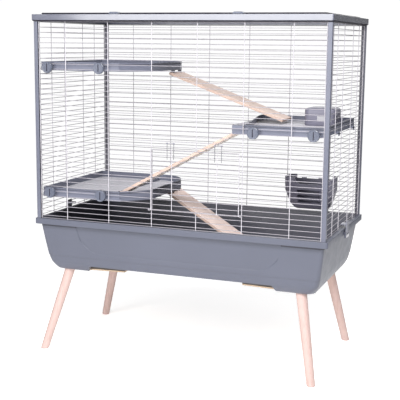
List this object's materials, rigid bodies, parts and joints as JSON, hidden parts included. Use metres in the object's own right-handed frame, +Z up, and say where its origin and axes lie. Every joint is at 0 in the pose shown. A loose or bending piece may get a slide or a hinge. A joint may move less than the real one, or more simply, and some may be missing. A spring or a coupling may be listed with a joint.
{
  "type": "multi-level small-animal cage",
  "caption": "Wire small-animal cage on a plastic tub with splayed wooden legs, hung platforms, lifting ramps, a fold-down front door and a hinged roof.",
  "frame": {"origin": "on the floor under the middle of the cage", "axes": "+Z up, front with the door towards -Y, +X to the right seen from the front"},
  "size_m": [1.016, 0.53, 1.1372],
  "materials": {
    "tub_grey": "fine satin moulded blue-grey plastic",
    "frame_grey": "satin blue-grey plastic",
    "tray_grey": "satin blue-grey plastic",
    "knob_grey": "satin blue-grey plastic",
    "dark_grey": "dark grey plastic",
    "beech": "turned beech, clear matt finish",
    "birch_ply": "untreated pale board",
    "painted_wire": "pale grey coated wire",
    "steel": "zinc plated",
    "board_brown": "dark fibreboard"
  },
  "bodies": {
    "cage": {"tub": "tub_grey", "leg_front_left": "beech", "leg_front_right": "beech", "leg_back_left": "beech", "leg_back_right": "beech", "leg_stud_front_left": "steel", "leg_stud_front_right": "steel", "leg_stud_back_left": "steel", "leg_stud_back_right": "steel", "leg_board_left": "board_brown", "leg_board_right": "board_brown", "post_front_left": "frame_grey", "post_front_right": "frame_grey", "post_back_left": "frame_grey", "post_back_right": "frame_grey", "top_frame": "frame_grey", "roof_hinge_left": "frame_grey", "roof_hinge_right": "frame_grey", "clip_base_left": "frame_grey", "clip_base_right": "frame_grey", "panel_front": "painted_wire", "panel_back": "painted_wire", "panel_left": "painted_wire", "panel_right": "painted_wire", "ramp_pin_upper": "steel", "ramp_pin_middle": "steel", "ramp_pin_lower": "steel", "door_hinge_left": "dark_grey", "door_hinge_right": "dark_grey", "hay_feeder": "dark_grey", "food_bowl": "dark_grey", "food_bowl_hood": "dark_grey", "platform_upper_left": "tray_grey", "platform_lower_left": "tray_grey", "platform_right": "tray_grey", "landing_upper": "tray_grey", "landing_lower": "tray_grey", "ramp_bracket": "tray_grey"},
    "roof": {"roof_lid": "frame_grey", "roof_wire": "painted_wire", "roof_hinge_pin_left": "steel", "roof_hinge_pin_right": "steel"},
    "catch_left": {"lid_catch_left": "knob_grey"},
    "catch_right": {"lid_catch_right": "knob_grey"},
    "door": {"front_door": "painted_wire"},
    "latch_left": {"door_latch_left": "steel"},
    "latch_right": {"door_latch_right": "steel"},
    "knob_upper_left": {"knob_upper_left": "knob_grey"},
    "knob_upper_right": {"knob_upper_right": "knob_grey"},
    "knob_lower_left": {"knob_lower_left": "knob_grey"},
    "knob_lower_right": {"knob_lower_right": "knob_grey"},
    "knob_side_left": {"knob_side_left": "knob_grey"},
    "knob_side_right": {"knob_side_right": "knob_grey"},
    "ramp_upper": {"ramp_upper": "birch_ply"},
    "ramp_middle": {"ramp_middle": "birch_ply"},
    "ramp_lower": {"ramp_lower": "birch_ply"},
    "clip_left": {"rim_clip_left": "frame_grey"},
    "clip_right": {"rim_clip_right": "frame_grey"}
  },
  "joints": [
    {"name": "roof_hinge", "type": "hinge", "parent": "cage", "child": "roof", "pos_m": [0, 0.2482, 1.1335], "axis": [-1, 0, 0], "range_deg": [0, 95]},
    {"name": "catch_left_slide", "type": "slide", "parent": "roof", "child": "catch_left", "axis": [0, 1, 0], "range_m": [0, 0.006]},
    {"name": "catch_right_slide", "type": "slide", "parent": "roof", "child": "catch_right", "axis": [0, 1, 0], "range_m": [0, 0.006]},
    {"name": "door_hinge", "type": "hinge", "parent": "cage", "child": "door", "pos_m": [0.07, -0.258, 0.5185], "axis": [1, 0, 0], "range_deg": [0, 165]},
    {"name": "latch_left_slide", "type": "slide", "parent": "door", "child": "latch_left", "axis": [0, 0, -1], "range_m": [0, 0.02]},
    {"name": "latch_right_slide", "type": "slide", "parent": "door", "child": "latch_right", "axis": [0, 0, -1], "range_m": [0, 0.02]},
    {"name": "knob_upper_left_turn", "type": "hinge", "parent": "cage", "child": "knob_upper_left", "pos_m": [-0.444, -0.2602, 0.961], "axis": [0, -1, 0], "range_deg": [0, 90]},
    {"name": "knob_upper_right_turn", "type": "hinge", "parent": "cage", "child": "knob_upper_right", "pos_m": [-0.258, -0.2602, 0.961], "axis": [0, -1, 0], "range_deg": [0, 90]},
    {"name": "knob_lower_left_turn", "type": "hinge", "parent": "cage", "child": "knob_lower_left", "pos_m": [-0.441, -0.2602, 0.5505], "axis": [0, -1, 0], "range_deg": [0, 90]},
    {"name": "knob_lower_right_turn", "type": "hinge", "parent": "cage", "child": "knob_lower_right", "pos_m": [-0.255, -0.2602, 0.5505], "axis": [0, -1, 0], "range_deg": [0, 90]},
    {"name": "knob_side_left_turn", "type": "hinge", "parent": "cage", "child": "knob_side_left", "pos_m": [0.259, -0.2602, 0.777], "axis": [0, -1, 0], "range_deg": [0, 90]},
    {"name": "knob_side_right_turn", "type": "hinge", "parent": "cage", "child": "knob_side_right", "pos_m": [0.447, -0.2602, 0.777], "axis": [0, -1, 0], "range_deg": [0, 90]},
    {"name": "ramp_upper_hinge", "type": "hinge", "parent": "cage", "child": "ramp_upper", "pos_m": [-0.128, 0.075, 0.9395], "axis": [0, -1, 0], "range_deg": [0, 36]},
    {"name": "ramp_middle_hinge", "type": "hinge", "parent": "cage", "child": "ramp_middle", "pos_m": [0.178, -0.15, 0.768], "axis": [0, 1, 0], "range_deg": [0, 34]},
    {"name": "ramp_lower_hinge", "type": "hinge", "parent": "cage", "child": "ramp_lower", "pos_m": [-0.128, 0.065, 0.5265], "axis": [0, -1, 0], "range_deg": [0, 40]},
    {"name": "clip_left_hinge", "type": "hinge", "parent": "cage", "child": "clip_left", "pos_m": [-0.5052, -0.012, 0.445], "axis": [0, -1, 0], "range_deg": [0, 75]},
    {"name": "clip_right_hinge", "type": "hinge", "parent": "cage", "child": "clip_right", "pos_m": [0.5052, -0.012, 0.445], "axis": [0, 1, 0], "range_deg": [0, 75]}
  ]
}
